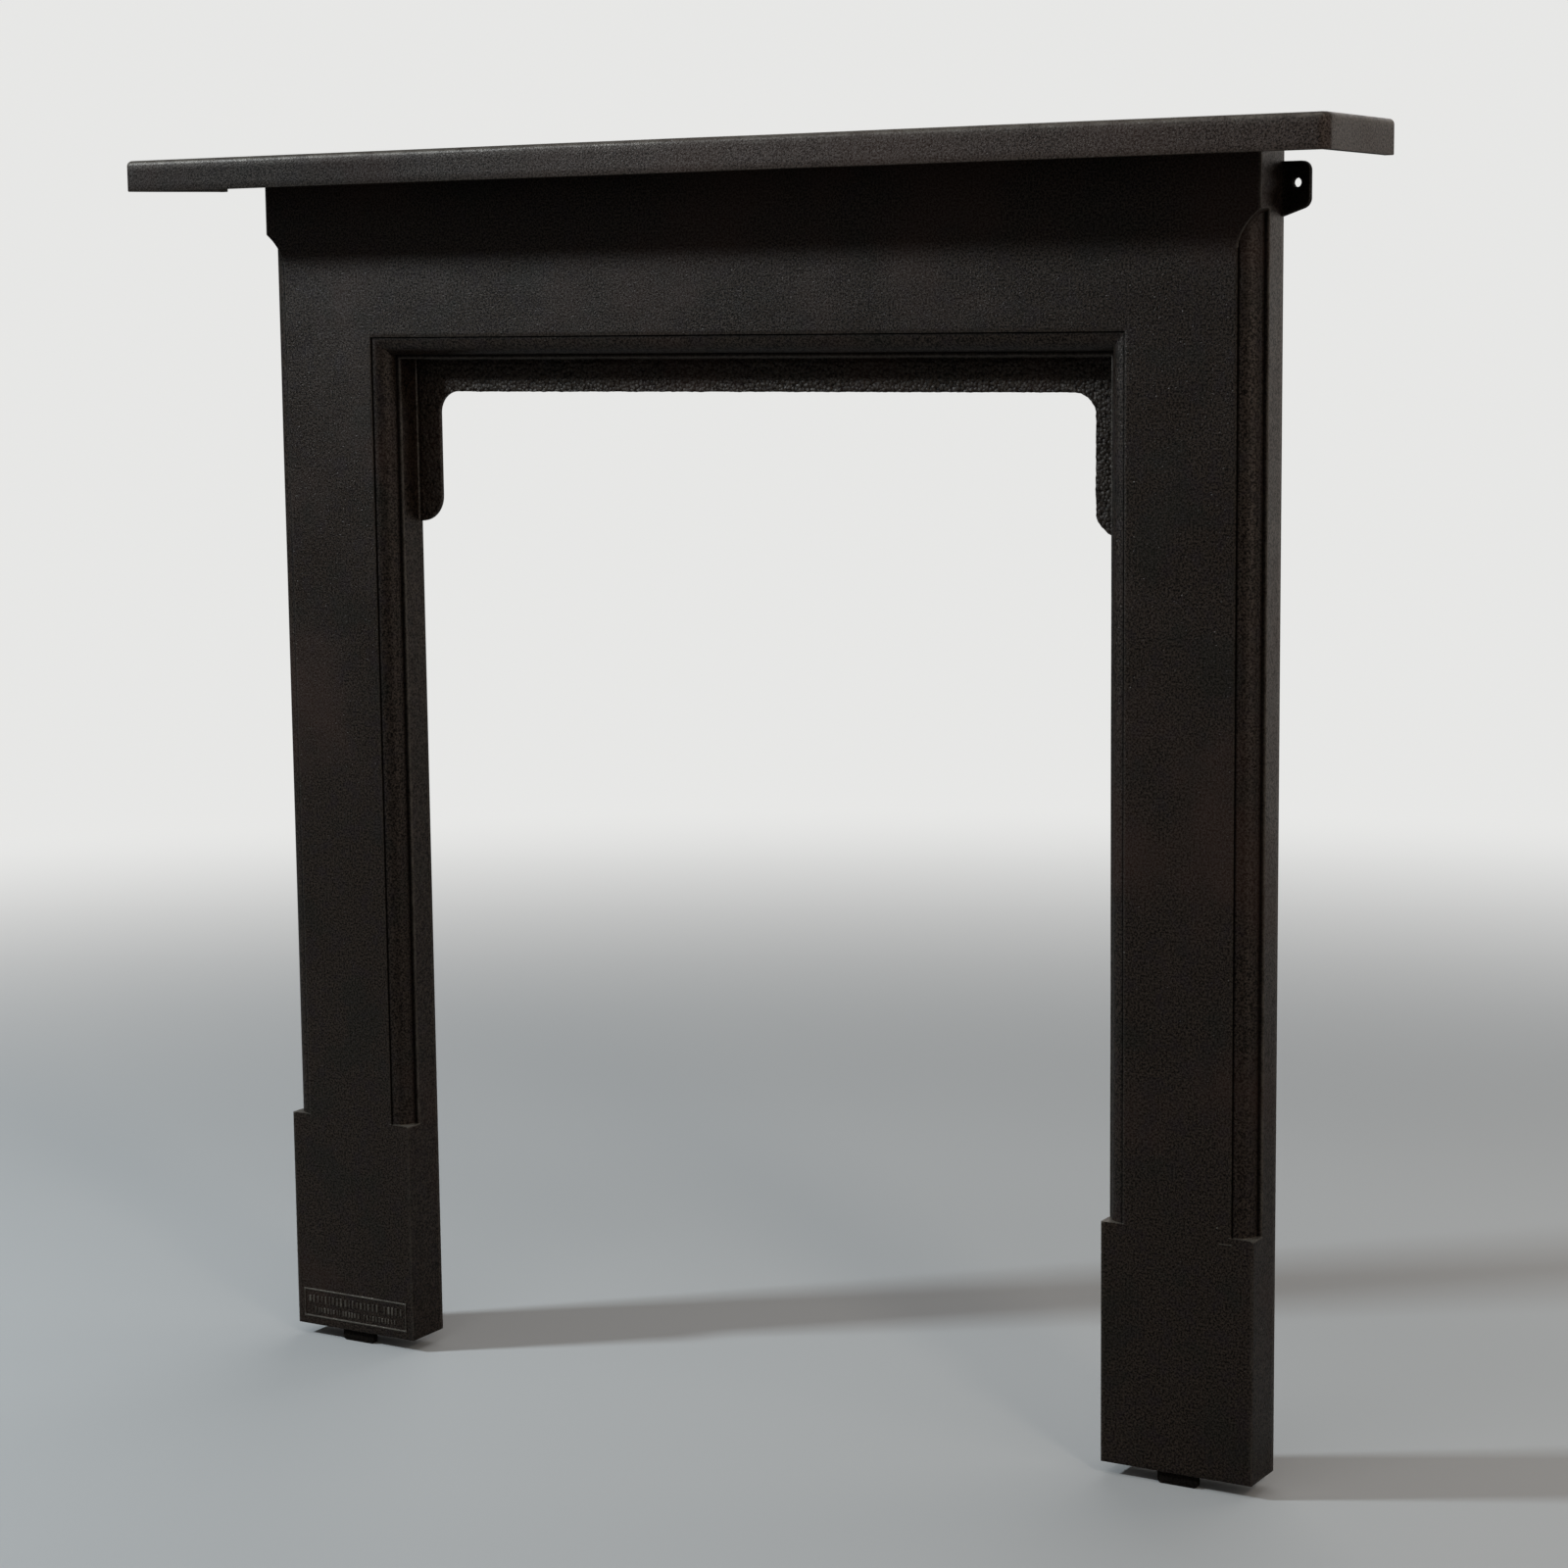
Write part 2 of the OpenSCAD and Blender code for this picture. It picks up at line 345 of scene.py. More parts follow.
def flange_tip(u, base, turn, reach):
    """Inner edge of the flange at each station: straight, with a quarter circle in the upper corner."""
    x0, z0 = -OPENING_X * u, base
    centre_x, centre_z = -(OPENING_X - EAR_W - FLANGE_R), SOFFIT - FLANGE_W - FLANGE_R
    up = np.clip((z0 - centre_z) / (SOFFIT - centre_z), 0, 1)
    over = np.clip((x0 + OPENING_X) / (centre_x + OPENING_X), 0, 1)
    angle = np.radians(45) * (up + over)
    arc_x = centre_x - FLANGE_R * np.cos(angle)
    arc_z = centre_z + FLANGE_R * np.sin(angle)
    tip_x = np.where(x0 > centre_x, x0, arc_x)
    tip_z = np.where(z0 < centre_z, z0, arc_z)
    tip_x = np.where(z0 < centre_z, -OPENING_X + reach, tip_x)
    return tip_x, tip_z


def frame_surface():
    """One half of the frame as a closed section carried up the jamb and along the head.

    Columns run round the section: reveal, inner moulding, front, outer moulding, side, hollow, rim, flange.
    Rows are the stations. A moulding that isn't shown keeps its depths and lies flat in the side, and at its
    stop the outer one is cut off by a wall square to the front face, a quarter circle about STOP_CENTRE as
    seen from the front.
    """
    # Painted highlight: the plinth ledges, which face up, are made much lighter through the rubbed-edge mask
    ledge_highlight = 4.0
    u, base, turn, shown, opened, reach = frame_stations()
    rows = len(u)
    one = np.ones((rows, 1))
    back_away, back_deep = hollow_profile()

    def inner(o):
        return -u * (OPENING_X + o), base + turn * o

    def outer(o):
        return -u * (FRAME_X - o), base + turn * (HEAD_W - o)

    outer_z = base + turn * HEAD_W
    past = np.maximum(outer_z - STOP_CENTRE, 0)
    on_jamb = shown * (u == 1)
    ledge = shown != np.where(shown == 1, np.roll(shown, 1), np.roll(shown, -1))

    tip_x, tip_z = flange_tip(u, base, turn, reach)
    root_x, root_z = inner(0)
    length = np.hypot(tip_x - root_x, tip_z - root_z)
    unit_x = (tip_x - root_x) / np.maximum(length, 1e-9)
    unit_z = (tip_z - root_z) / np.maximum(length, 1e-9)

    def flange(far):
        far = np.minimum(far, length)
        return root_x + unit_x * far, root_z + unit_z * far

    columns = []

    def add(xz, d, worn_and_lit=0.0, pebbled=0.0, grimy_and_shaded=0.0):
        x, z = (a + 0 * one for a in xz)
        columns.append([x, z] + [np.broadcast_to(mask, x.shape) + 0.0 for mask in (d, worn_and_lit, pebbled, grimy_and_shaded)])

    def moulded(side, steps, cut, order):
        """A moulding where the cut leaves it; elsewhere its columns stand on the cut, its front edge rubbed
        lighter, and lighter still along the stop's arc as a painted highlight.
        """
        away, deep, wear_and_highlight, grime_and_shade, square = moulding_profile(steps)
        limit = cut(np.maximum(away, MOULD_W))
        kept = (away <= limit + 1e-6) & (limit > 0)
        bare_edge_and_highlight = np.zeros_like(away)
        bare_edge_and_highlight[-3:] = [0.4, 1.0, 0.5]
        # The cut front edge is rubbed lighter, with a painted highlight four times as strong along the stop's
        # arc
        worn_and_lit = np.maximum(np.where(kept, wear_and_highlight, bare_edge_and_highlight * (0.5 + 1.5 * (past > 0))), ledge_highlight * ledge)
        offset = np.maximum(np.minimum(away, limit), square)
        # Dirt and painted shade in the moulding's corners, only where the moulding is kept
        dirt_and_shade = np.where(kept, grime_and_shade, 0)
        add(side(offset[:, ::order]), deep[::order], worn_and_lit[:, ::order], 0.0, dirt_and_shade[:, ::order])
        return offset[:, -1:]

    def stopped(radius):
        return np.sqrt(np.maximum(radius ** 2 - past ** 2, 0)) * on_jamb

    reveal = np.linspace(DEPTH - FLANGE_T - ROOT_R, MOULD_D + 3, 5)
    add(inner(np.zeros(5)), reveal)
    front_in = moulded(inner, 13, lambda radius: radius * shown, 1)
    front_at = len(columns)
    columns.append(None)
    front_out = moulded(outer, 17, stopped, -1)
    share = np.array([0.02, 0.06, 0.13, 0.22, 0.32, 0.44, 0.56, 0.68, 0.78, 0.87, 0.94, 0.98])
    a, b = inner(front_in), outer(front_out)
    add((a[0] + (b[0] - a[0]) * share, a[1] + (b[1] - a[1]) * share), 0.0)
    columns[front_at] = columns.pop()
    add(outer(np.zeros(5)), np.linspace(MOULD_D + 3, DEPTH - ARRIS_R, 5), [0, 0, 0, 0, 0.5])
    add(outer(np.array([0.3, 1.0]) * ARRIS_R), np.array([DEPTH - 0.3 * ARRIS_R, DEPTH]), [0.9, 0.5])
    backed = on_jamb * (outer_z < STOP_TOP + WALL)
    shut = DEPTH * (1 - opened)
    for side, kept, order in ((outer, backed, 1), (inner, shown, -1)):
        o = (WALL + (back_away - WALL) * kept)[:, ::order]
        add(side(o), np.maximum(back_deep * opened, shut)[:, ::order])
    add(inner(np.array([WALL / 2, 0.0])), DEPTH)
    inside = np.linspace(1.0, 0.0, 17) * (length - 1.2 * ROOT_R) + ROOT_R * (length > 0)
    add(flange(length * 0.5), DEPTH)
    add(flange(length - 0.3), DEPTH, 0.0, 0.3)
    add(flange(length + 0 * np.ones(3)), DEPTH - FLANGE_T * np.array([0.12, 0.5, 0.88]), 0.3, [0.2, 0.3, 0.5])
    add(flange(inside), DEPTH - FLANGE_T, 0.0, smooth(0, 6, inside))
    # Painted highlight: the rounded root between the reveal and the flange is made light through the
    # rubbed-edge mask
    root = np.radians([30, 60])
    add(flange(ROOT_R * (1 - np.sin(root)) * (length > 0)), DEPTH - FLANGE_T - ROOT_R * (1 - np.cos(root)),
        0.75 * (length > 0))
    return [np.concatenate([c[k] for c in columns], axis=1) for k in range(6)]


def frame_casting():
    """The half surface and its mirror image as one, with rounded lower edges and a cap under each plinth."""
    x, z, d, worn_and_lit, pebbled, grimy_and_shaded = frame_surface()
    gap = ARRIS_R - (z[:3, :1] - FOOT_H)
    inset = np.zeros((len(x), 1))
    inset[:3] = ARRIS_R * (1 - np.sqrt(np.maximum(1 - (gap / ARRIS_R) ** 2, 0)))
    x = np.clip(x, -FRAME_X + inset, np.where(inset > 0, -OPENING_X - inset, np.inf))
    d = np.clip(d, inset, DEPTH - inset)
    x = np.concatenate([x, -x[-2::-1]])
    z, d, worn_and_lit, pebbled, grimy_and_shaded = (np.concatenate([a, a[-2::-1]]) for a in (z, d, worn_and_lit, pebbled, grimy_and_shaded))
    rows, columns = x.shape
    points = placed(x, z, d).reshape(-1, 3)
    quads = grid_faces(rows, columns, closed_columns=True)
    first, last = np.arange(columns), (rows - 1) * columns + np.arange(columns)
    masks = {"wear_and_highlight": worn_and_lit.ravel(), "pebble": pebbled.ravel(), "grime_and_shade": grimy_and_shaded.ravel()}
    points, faces, masks = welded(points, quads, [first[::-1], last], masks)
    return points, faces, masks


def ring_solid(outer, inner, share, depth, wear_and_highlight):
    """A closed section carried round a ring, each point a share of the way from inner to outer, at a depth.

    outer and inner are matching points (x, z) of two closed outlines. Gives points, quads and wear.
    """
    x, z = (inner[:, k:k + 1] + (outer - inner)[:, k:k + 1] * share for k in (0, 1))
    points = placed(x, z, depth + 0 * x).reshape(-1, 3)
    quads = grid_faces(len(outer), len(share), closed_rows=True, closed_columns=True)
    return points, quads, (wear_and_highlight + 0 * x).ravel()


def arc_points(centre, radius, start, end, count=9):
    """Points (x, z) on a circular arc, angles in degrees."""
    a = np.radians(np.linspace(start, end, count))
    return np.stack([centre[0] + radius * np.cos(a), centre[1] + radius * np.sin(a)], axis=1)


def run_points(ends, count):
    """Points (x, z) spaced evenly along a straight run, its far end left out."""
    return np.linspace(ends[0], ends[1], count, endpoint=False)


def screw_lug(side):
    """Flat ear with rounded edges round a screw hole: the section runs from the hole to the ear's outline."""
    x0, tip, low = FRAME_X - WALL / 2, FRAME_X + LUG_W, LUG_TOP - LUG_H
    run, rise = LUG_W - LUG_R_LOW, LUG_RISE + LUG_R_LOW
    slant = math.atan2(rise, run) - math.asin(LUG_R_LOW / math.hypot(run, rise))
    corner = arc_points((tip - LUG_R_LOW, low + rise), LUG_R_LOW, math.degrees(slant) - 90, 0, 12)
    outline = np.concatenate([
        run_points(((x0, LUG_TOP), (x0, low)), 8), run_points(((x0, low), (FRAME_X, low)), 2),
        run_points(((FRAME_X, low), corner[0]), 6), corner,
        run_points(((tip, low + rise + 2), (tip, LUG_TOP - LUG_R_TOP - 1)), 7),
        arc_points((tip - LUG_R_TOP, LUG_TOP - LUG_R_TOP), LUG_R_TOP, 0, 90, 9),
        run_points(((tip - LUG_R_TOP - 2, LUG_TOP), (x0, LUG_TOP)), 6)])
    centre = np.array([FRAME_X + SCREW_X, SCREW_Z])
    ray = outline - centre
    hole = centre + SCREW_R * ray / np.linalg.norm(ray, axis=1, keepdims=True)
    near = DEPTH - LUG_T
    share = np.array([0, 0, 0.02, 0.06, 0.2, 0.4, 0.6, 0.8, 0.93, 0.98, 1, 1, 0.6, 0.2])
    depth = np.array([DEPTH, near + 0.6, near + 0.15, near, near, near, near, near, near, near + 0.3,
                      near + 1.1, DEPTH, DEPTH, DEPTH])
    wear_and_highlight = np.array([0, 0.3, 1, 0.4, 0, 0, 0, 0, 0.2, 0.8, 0.8, 0.4, 0, 0])
    mirror = np.array([side, 1])
    return ring_solid(outline * mirror, hole * mirror, share, depth, wear_and_highlight)


def foot(side):
    """Thin tab under a plinth, with rounded lower corners: its section closes on a spine down its middle."""
    x0, x1 = PLINTH_X - FOOT_W / 2, PLINTH_X + FOOT_W / 2
    top = FOOT_H + WALL / 2
    outline = np.concatenate([
        run_points(((x1, top), (x0, top)), 8), run_points(((x0, top), (x0, FOOT_R)), 5),
        arc_points((x0 + FOOT_R, FOOT_R), FOOT_R, 180, 270, 7),
        run_points(((x0 + FOOT_R + 2, 0), (x1 - FOOT_R - 1, 0)), 8),
        arc_points((x1 - FOOT_R, FOOT_R), FOOT_R, 270, 360, 7),
        run_points(((x1, FOOT_R + 1), (x1, top)), 4)])
    middle = np.array([PLINTH_X, FOOT_H / 2 + 1])
    spine = np.repeat(middle[None], len(outline), axis=0)
    share = np.array([0, 0.5, 0.93, 0.98, 1, 1, 0.98, 0.93, 0.5, 0])
    depth = FOOT_BACK + np.array([0, 0, 0, 0.15, 0.8, FOOT_T - 0.8, FOOT_T - 0.15, FOOT_T, FOOT_T, FOOT_T])
    wear_and_highlight = np.array([0, 0, 0.1, 0.3, 0.3, 0.3, 0.3, 0.1, 0, 0])
    mirror = np.array([side, 1])
    return ring_solid(outline * mirror, spine * mirror, share, depth, wear_and_highlight)


def plate_border():
    """Raised strip round a rectangle: a low rounded section carried round its four mitred sides."""
    x0, z0 = -PLINTH_X - BORDER_W / 2, BORDER_LOW
    size = np.array([BORDER_W, BORDER_H])
    corners = np.array([[0, 0], [1, 0], [1, 1], [0, 1]])
    outer = np.concatenate([run_points((a, b), 24) for a, b in zip(corners, np.roll(corners, -1, axis=0))])
    inner = np.array([x0, z0]) + BORDER_STRIP + outer * (size - 2 * BORDER_STRIP)
    outer = np.array([x0, z0]) + outer * size
    share = np.array([0, 0.06, 0.25, 0.75, 0.94, 1])
    depth = np.array([1.5, -0.5, -1, -1, -0.5, 1.5]) * BORDER_RELIEF
    # Top and bottom bars are made lighter than the upright ones: partly rubbed, partly a painted highlight
    level = np.abs((outer - inner)[:, 1:]) > 0.9 * BORDER_STRIP
    return ring_solid(outer, inner, share, depth, np.array([0, 0.4, 1, 1, 0.4, 0]) * (0.6 + 1.9 * level))


def low_bars(bars):
    """Low blocks on the front face: four corners at each of three levels, narrowing from a sunken root.

    Each bar has: x, height, half width, half height, relief, and how worn it is.
    """
    root = slope = 0.8
    points, quads, wear_and_highlight = [], [], []
    corner = np.array([[-1, -1], [1, -1], [1, 1], [-1, 1]])
    for number, (x, z, half_w, half_h, relief, bright) in enumerate(bars):
        start = 12 * number
        for depth, scale in ((root, 1.0), (-0.4 * relief, 0.9), (-relief, 0.5)):
            flat = corner * (np.array([half_w, half_h]) - (1 - scale) * min(slope, half_w, half_h))
            points.append(placed(x + flat[:, 0], z + flat[:, 1], np.full(4, depth)))
            wear_and_highlight.append(np.full(4, bright if depth < 0 else 0.0))
        quads.append(grid_faces(3, 4, closed_columns=True, start=start))
        quads.append(np.array([[0, 3, 2, 1], [8, 9, 10, 11]]) + start)
    return np.concatenate(points), np.concatenate(quads), np.concatenate(wear_and_highlight)


def stroke_rows():
    """Two rows of shallow upright bars inside the border, with gaps left here and there."""
    draw = np.random.default_rng(41)
    gap_share = 0.13
    bars = []
    for middle, height, count, margin in ((BORDER_LOW + 19.3, 9.0, 24, 5), (BORDER_LOW + 8.2, 6.0, 27, 13)):
        pitch = (BORDER_W - 2 * margin) / count
        for k in range(count):
            if draw.random() < gap_share:
                continue
            x = -PLINTH_X - BORDER_W / 2 + margin + pitch * (k + 0.5) + draw.uniform(-0.5, 0.5)
            half = height / 2 * draw.uniform(0.7, 1.0)
            bars.append((x, middle, draw.uniform(0.8, 1.5), half, BORDER_RELIEF, draw.uniform(0.4, 2.2)))
    return low_bars(bars)


def plinth_marks():
    """Beside the foot of the right outer moulding: a short ridge on the plinth, and a small bump above it."""
    return low_bars([(502.0, 227.0, 6.0, 0.35, 0.25, 1.2), (494.0, 241.0, 0.8, 0.8, 0.3, 2.0)])


def joined(piece, additions):
    """The piece with each closed addition united with it, so that no face is left inside the metal."""
    for points, quads, wear_and_highlight in additions:
        masks = {"wear_and_highlight": wear_and_highlight, "pebble": 0 * wear_and_highlight, "grime_and_shade": 0 * wear_and_highlight}
        other = new_piece("addition", *welded(points, quads, [], masks))
        union = piece.modifiers.new("union", "BOOLEAN")
        union.operation = "UNION"
        union.solver = "MANIFOLD"
        union.object = other
        result = bpy.data.meshes.new_from_object(piece.evaluated_get(bpy.context.evaluated_depsgraph_get()))
        piece.modifiers.clear()
        piece.data = result
        bpy.data.objects.remove(other)
    piece.data.name = piece.name
    piece.data.materials.clear()
    piece.data.polygons.foreach_set("material_index", np.zeros(len(piece.data.polygons), np.int32))
    return piece


def shaded(piece, sharp_degrees=38):
    """Smooth shading, with edges above the angle left sharp."""
    mesh = piece.data
    mesh.shade_smooth()
    mesh.set_sharp_from_angle(angle=math.radians(sharp_degrees))
    return piece


def built_frame():
    """The casting moved by waves and pebbles, united with its small parts, with painted shade on the feet and
    lugs.
    """
    shade_on_feet_and_lugs = 0.9
    points, faces, masks = frame_casting()
    piece = new_piece("frame_casting", points, faces, masks)
    lumps = PEBBLE_HEIGHT * (pebbles(points, PEBBLE_CELL, PEBBLE_SEED) - 0.35)
    lumps = lumps + LUMP_HEIGHT * lattice_noise(points, LUMP_CELL, LUMP_SEED)
    moved_along_normals(piece, uneven(points) + lumps * masks["pebble"])
    lugs_and_feet = [screw_lug(1), screw_lug(-1), foot(1), foot(-1)]
    joined(piece, lugs_and_feet + [plate_border(), stroke_rows(), plinth_marks()])
    points, grime_and_shade = read_points(piece.data), piece.data.attributes["grime_and_shade"].data
    # Painted shade: the feet, under the plinths, and the lugs, beyond the frame's sides, are darkened as if
    # in shadow
    feet_and_lugs_in_shade = smooth(FOOT_H, FOOT_H - 1, (points[:, 2] - HEARTH_Z) / MM)
    feet_and_lugs_in_shade = np.maximum(feet_and_lugs_in_shade, smooth(FRAME_X + 0.5, FRAME_X + 3, abs(points[:, 0]) / MM))
    dirty = np.empty(len(points), np.float32)
    grime_and_shade.foreach_get("value", dirty)
    grime_and_shade.foreach_set("value", np.maximum(dirty, shade_on_feet_and_lugs * feet_and_lugs_in_shade).astype(np.float32))
    return shaded(piece)


# ---------------------------------------------------------------- the shelf

def shelf_rim():
    """Section of the rim from the plate outwards and back: distance beyond the plate's edge, height, and a
    rubbed mask that along the rounded upper edge is partly a painted highlight.

    Plate edge, rounded upper edge, face, underside, and inside up to the plate's lower face.
    """
    arc = np.radians(np.linspace(90, 0, 8))
    top = SHELF_TOP - SHELF_EDGE_R
    out = np.concatenate([[0, 2.2], SHELF_SKIRT - SHELF_EDGE_R + SHELF_EDGE_R * np.cos(arc),
                          [SHELF_SKIRT] * 4, [SHELF_SKIRT - 0.25, SHELF_SKIRT - 0.9, 5, 1, 0.2], [0] * 5])
    z = np.concatenate([[SHELF_TOP] * 2, top + SHELF_EDGE_R * np.sin(arc),
                        np.linspace(top - 5, SHELF_UNDER + 0.9, 4),
                        SHELF_UNDER + np.array([0.25, 0, 0, 0, 0.2]),
                        np.linspace(SHELF_UNDER + 1, SHELF_TOP - SHELF_PLATE, 5)])
    # The rounded upper edge is made lightest at its middle: partly rubbed iron, partly a painted highlight
    wear_and_highlight = np.concatenate([[0, 0.1], 0.3 + 0.9 * np.sin(np.linspace(0, np.pi, 8)), [0, 0, 0, 0.1],
                           [0.4, 0.3, 0, 0, 0.3], [0.2, 0, 0, 0, 0]])
    return out, z, wear_and_highlight


def shelf_path():
    """The plate's edge from the left end's wall edge round to the right's, and where outwards is.

    Each row has x, depth, and a unit direction, which turns a quarter circle at each front corner. The x of
    the front's points and the depths of an end's points are given too.
    """
    x1, y0, y1 = SHELF_X - SHELF_SKIRT, SHELF_FRONT + SHELF_SKIRT, DEPTH
    side = np.linspace(y1, y0, SHELF_ACROSS)
    front = np.linspace(-x1, x1, SHELF_ALONG)
    fan = np.radians(np.linspace(0, 90, SHELF_CORNER + 2)[1:-1])

    def rows(*columns):
        return np.stack(np.broadcast_arrays(*columns), axis=1)

    start = [rows(-x1, side, -1.0, 0.0),
             rows(-x1, y0, -np.cos(fan), -np.sin(fan)),
             rows(front, y0, 0.0, -1.0)]
    mirrored = [np.stack([-part[::-1, 0], part[::-1, 1], -part[::-1, 2], part[::-1, 3]], axis=1)
                for part in start[1::-1]]
    return np.concatenate(start + mirrored), front, side


def shelf_casting():
    """Tray open at the wall: a rim carried round three sides, two flat grids for the plate, and a wall edge.

    Rust grows towards the right, and what isn't rusty or worn is a little grimy.
    """
    path, across, back = shelf_path()
    out, z, wear_and_highlight = shelf_rim()
    x = path[:, :1] + path[:, 2:3] * out
    y = path[:, 1:2] + path[:, 3:4] * out
    rows, columns = x.shape
    points = [placed(x, np.broadcast_to(z, x.shape), y).reshape(-1, 3)]
    quads = [grid_faces(rows, columns)]
    worn_and_lit = [np.broadcast_to(wear_and_highlight, x.shape).ravel()]
    gx, gy = np.meshgrid(across, back[::-1], indexing="ij")
    for level, flip in ((SHELF_TOP, False), (SHELF_TOP - SHELF_PLATE, True)):
        start = sum(len(p) for p in points)
        face = grid_faces(len(across), len(back), start=start)
        points.append(placed(gx, np.full(gx.shape, level), gy).reshape(-1, 3))
        quads.append(face[:, ::-1] if flip else face)
        worn_and_lit.append(np.zeros(gx.size))
    start = sum(len(p) for p in points)
    edge = np.stack([across, across], axis=1)
    level = np.tile([SHELF_TOP, SHELF_TOP - SHELF_PLATE], (len(across), 1))
    points.append(placed(edge, level, np.full(edge.shape, DEPTH)).reshape(-1, 3))
    quads.append(grid_faces(len(across), 2, start=start)[:, ::-1])
    worn_and_lit.append(np.full(edge.size, 0.4))
    ends = [np.arange(columns), (rows - 1) * columns + np.arange(columns)[::-1]]
    points, quads, worn_and_lit = np.concatenate(points), np.concatenate(quads), np.concatenate(worn_and_lit)
    rust = smooth(-0.42, 0.05, points[:, 0])
    grimy_and_shaded = 0.35 * (1 - rust) * (worn_and_lit < 0.2)
    return welded(points, quads, ends, {"wear_and_highlight": worn_and_lit, "pebble": 0 * worn_and_lit, "grime_and_shade": grimy_and_shaded, "rust": rust})


def left_end_raised(points):
    """The left end's lower edge is cast short: raised by 0.6 mm at the corner and by 3.8 mm at the wall."""
    x, y, z = points.T
    low = smooth(SHELF_UNDER + 16, SHELF_UNDER, (z - HEARTH_Z) / MM)
    near_end = smooth(-SHELF_X + 26, -SHELF_X + 8, x / MM)
    along = np.clip((y - shelf_low.y) / (shelf_high.y - shelf_low.y), 0, 1)
    points[:, 2] += low * near_end * (0.6 + 3.2 * along) * MM
    return points


def built_shelf():
    """The tray with its left end's lower edge raised, and moved by the waves."""
    points, faces, masks = shelf_casting()
    piece = new_piece("shelf_casting", left_end_raised(points), faces, masks)
    moved_along_normals(piece, uneven(points))
    return shaded(piece)


# ---------------------------------------------------------------- finishes

# Colours; those of the iron stand in the order that they are laid over one another
BACKDROP = (0.80, 0.80, 0.79)
SPECK_DARK = (0.0015, 0.0008, 0.0005, 1)
SPECK_LIGHT = (0.0310, 0.0195, 0.0125, 1)
VIOLET_SHADE = (0.0125, 0.0075, 0.0090, 1)
GREEN_SHADE = (0.0072, 0.0075, 0.0052, 1)
BROWN_BLOOM = (0.0280, 0.0130, 0.0085, 1)
RUST = (0.058, 0.039, 0.031, 1)
BARE_IRON_AND_HIGHLIGHT = (0.200, 0.178, 0.150, 1)
PEBBLE_TOP_HIGHLIGHT = (0.054, 0.042, 0.033, 1)
DUST_AND_TOP_LIGHT = (0.17, 0.155, 0.135, 1)
# Near-black laid over dirty places, and as painted shade in the moulding's corners, on the feet and on the
# lugs
GRIME_AND_SHADE_BLACK = (0.0028, 0.0024, 0.0020, 1)
WARM_SHEEN = (1.0, 0.89, 0.82, 1)
FLOOR_LIT = (0.22, 0.22, 0.215, 1)
FLOOR_SEEN = (0.60, 0.595, 0.585, 1)
FLOOR_FAR = (0.20, 0.20, 0.20, 1)
SKY_FILL = (0.95, 0.97, 1.0, 1)


class Nodes:
    """Adds and joins the nodes of one tree."""

    def __init__(self, tree):
        self.tree = tree

    def add(self, kind, values=None, **settings):
        node = self.tree.nodes.new(kind)
        for key, value in settings.items():
            setattr(node, key, value)
        for key, value in (values or {}).items():
            if isinstance(value, bpy.types.NodeSocket):
                self.tree.links.new(value, node.inputs[key])
            else:
                node.inputs[key].default_value = value
        return node

    def math(self, operation, *values):
        return self.add("ShaderNodeMath", dict(enumerate(values)), operation=operation).outputs[0]

    def mix(self, factor, first, second):
        node = self.add("ShaderNodeMix", data_type="RGBA")
        for socket, value in ((node.inputs[0], factor), (node.inputs[6], first), (node.inputs[7], second)):
            if isinstance(value, bpy.types.NodeSocket):
                self.tree.links.new(value, socket)
            else:
                socket.default_value = value
        return node.outputs[2]

    def ramp(self, value, low, high):
        """Eases from 0 at low to 1 at high."""
        node = self.add("ShaderNodeMapRange", {"Value": value, "From Min": low, "From Max": high},
                        interpolation_type="SMOOTHSTEP")
        return node.outputs["Result"]

    def noise(self, place, scale, detail=2.0, rough=0.5):
        node = self.add("ShaderNodeTexNoise", {"Vector": place, "Scale": scale, "Detail": detail,
                                               "Roughness": rough})
        return node.outputs["Fac"]


def new_group(name, inputs, outputs):
    """A node group with named sockets: each is a name, a type, and for an input its usual value."""
    tree = bpy.data.node_groups.new(name, "ShaderNodeTree")
    for label, kind, usual in inputs:
        socket = tree.interface.new_socket(label, in_out="INPUT", socket_type="NodeSocket" + kind)
        if usual is not None:
            socket.default_value = usual
    for label, kind in outputs:
        tree.interface.new_socket(label, in_out="OUTPUT", socket_type="NodeSocket" + kind)
    nodes = Nodes(tree)
    return tree, nodes, nodes.add("NodeGroupInput").outputs, nodes.add("NodeGroupOutput")


